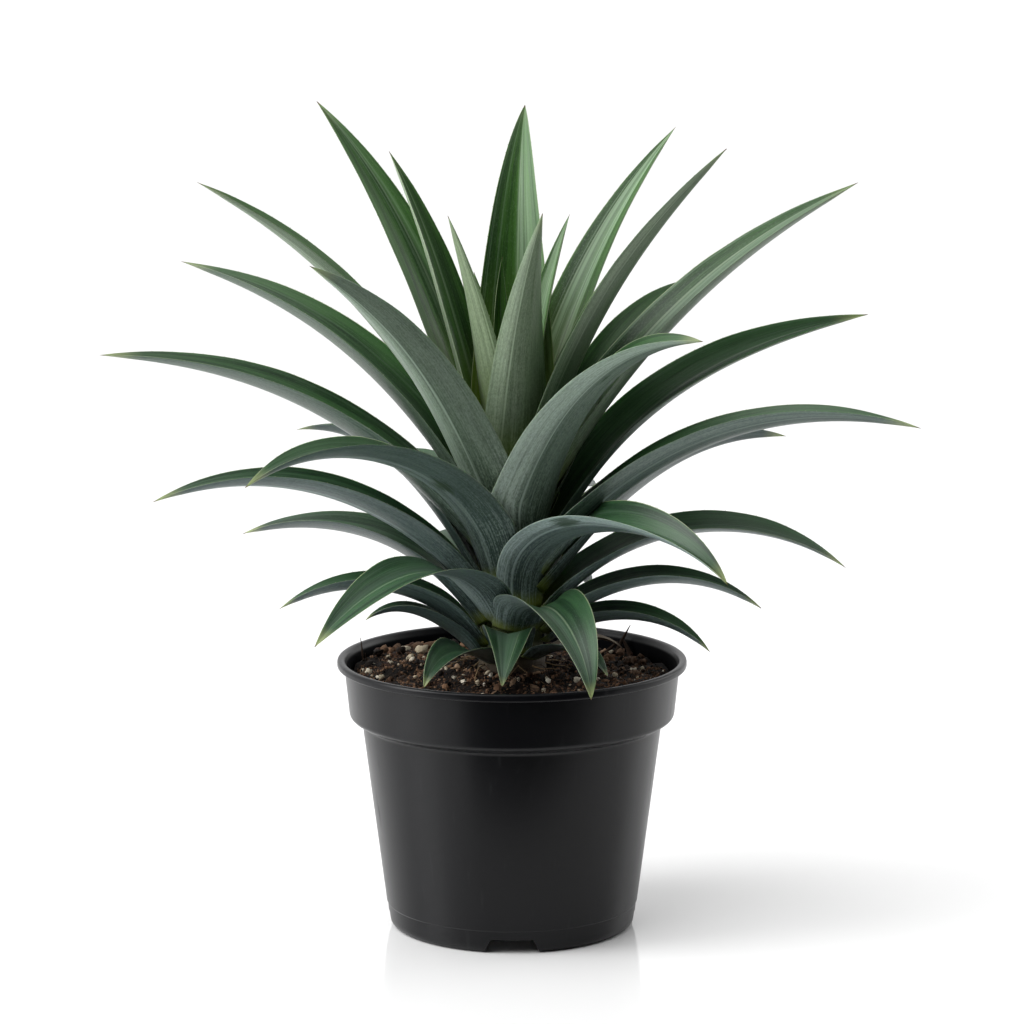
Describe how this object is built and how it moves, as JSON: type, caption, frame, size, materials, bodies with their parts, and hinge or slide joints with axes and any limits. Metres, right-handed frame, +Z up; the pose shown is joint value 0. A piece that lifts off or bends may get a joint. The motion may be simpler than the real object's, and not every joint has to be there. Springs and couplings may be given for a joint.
{
  "type": "potted pineapple plant",
  "caption": "Young pineapple plant, a rosette of long channelled leaves on a short stem, standing in soil in a round black nursery pot.",
  "frame": {"origin": "on the pot's axis, on the surface that the pot stands on", "axes": "+Z up along the stem, -Y towards the viewer, +X to the viewer's right"},
  "size_m": [0.3917, 0.2315, 0.3974],
  "materials": {
    "leaf": "satin",
    "dry_leaf": "matte",
    "stem": "matte",
    "soil": "matte",
    "pot": "satin"
  },
  "bodies": {
    "root": {"pot": "pot", "soil": "soil", "stem": "stem", "dry_leaf": "dry_leaf", "leaf_01": "leaf", "leaf_02": "leaf", "leaf_03": "leaf", "leaf_04": "leaf", "leaf_05": "leaf", "leaf_06": "leaf", "leaf_07": "leaf", "leaf_08": "leaf", "leaf_09": "leaf", "leaf_10": "leaf", "leaf_11": "leaf", "leaf_12": "leaf", "leaf_13": "leaf", "leaf_14": "leaf", "leaf_15": "leaf", "leaf_16": "leaf", "leaf_17": "leaf", "leaf_18": "leaf", "leaf_19": "leaf", "leaf_20": "leaf", "leaf_21": "leaf", "leaf_22": "leaf", "leaf_23": "leaf", "leaf_24": "leaf", "leaf_25": "leaf", "leaf_26": "leaf", "leaf_27": "leaf", "leaf_28": "leaf", "leaf_29": "leaf", "leaf_30": "leaf", "leaf_31": "leaf", "leaf_32": "leaf", "leaf_33": "leaf", "leaf_34": "leaf", "leaf_35": "leaf", "leaf_36": "leaf", "leaf_37": "leaf", "leaf_38": "leaf", "leaf_39": "leaf", "leaf_40": "leaf", "leaf_41": "leaf", "leaf_42": "leaf", "leaf_43": "leaf", "leaf_44": "leaf", "leaf_45": "leaf"}
  },
  "joints": []
}
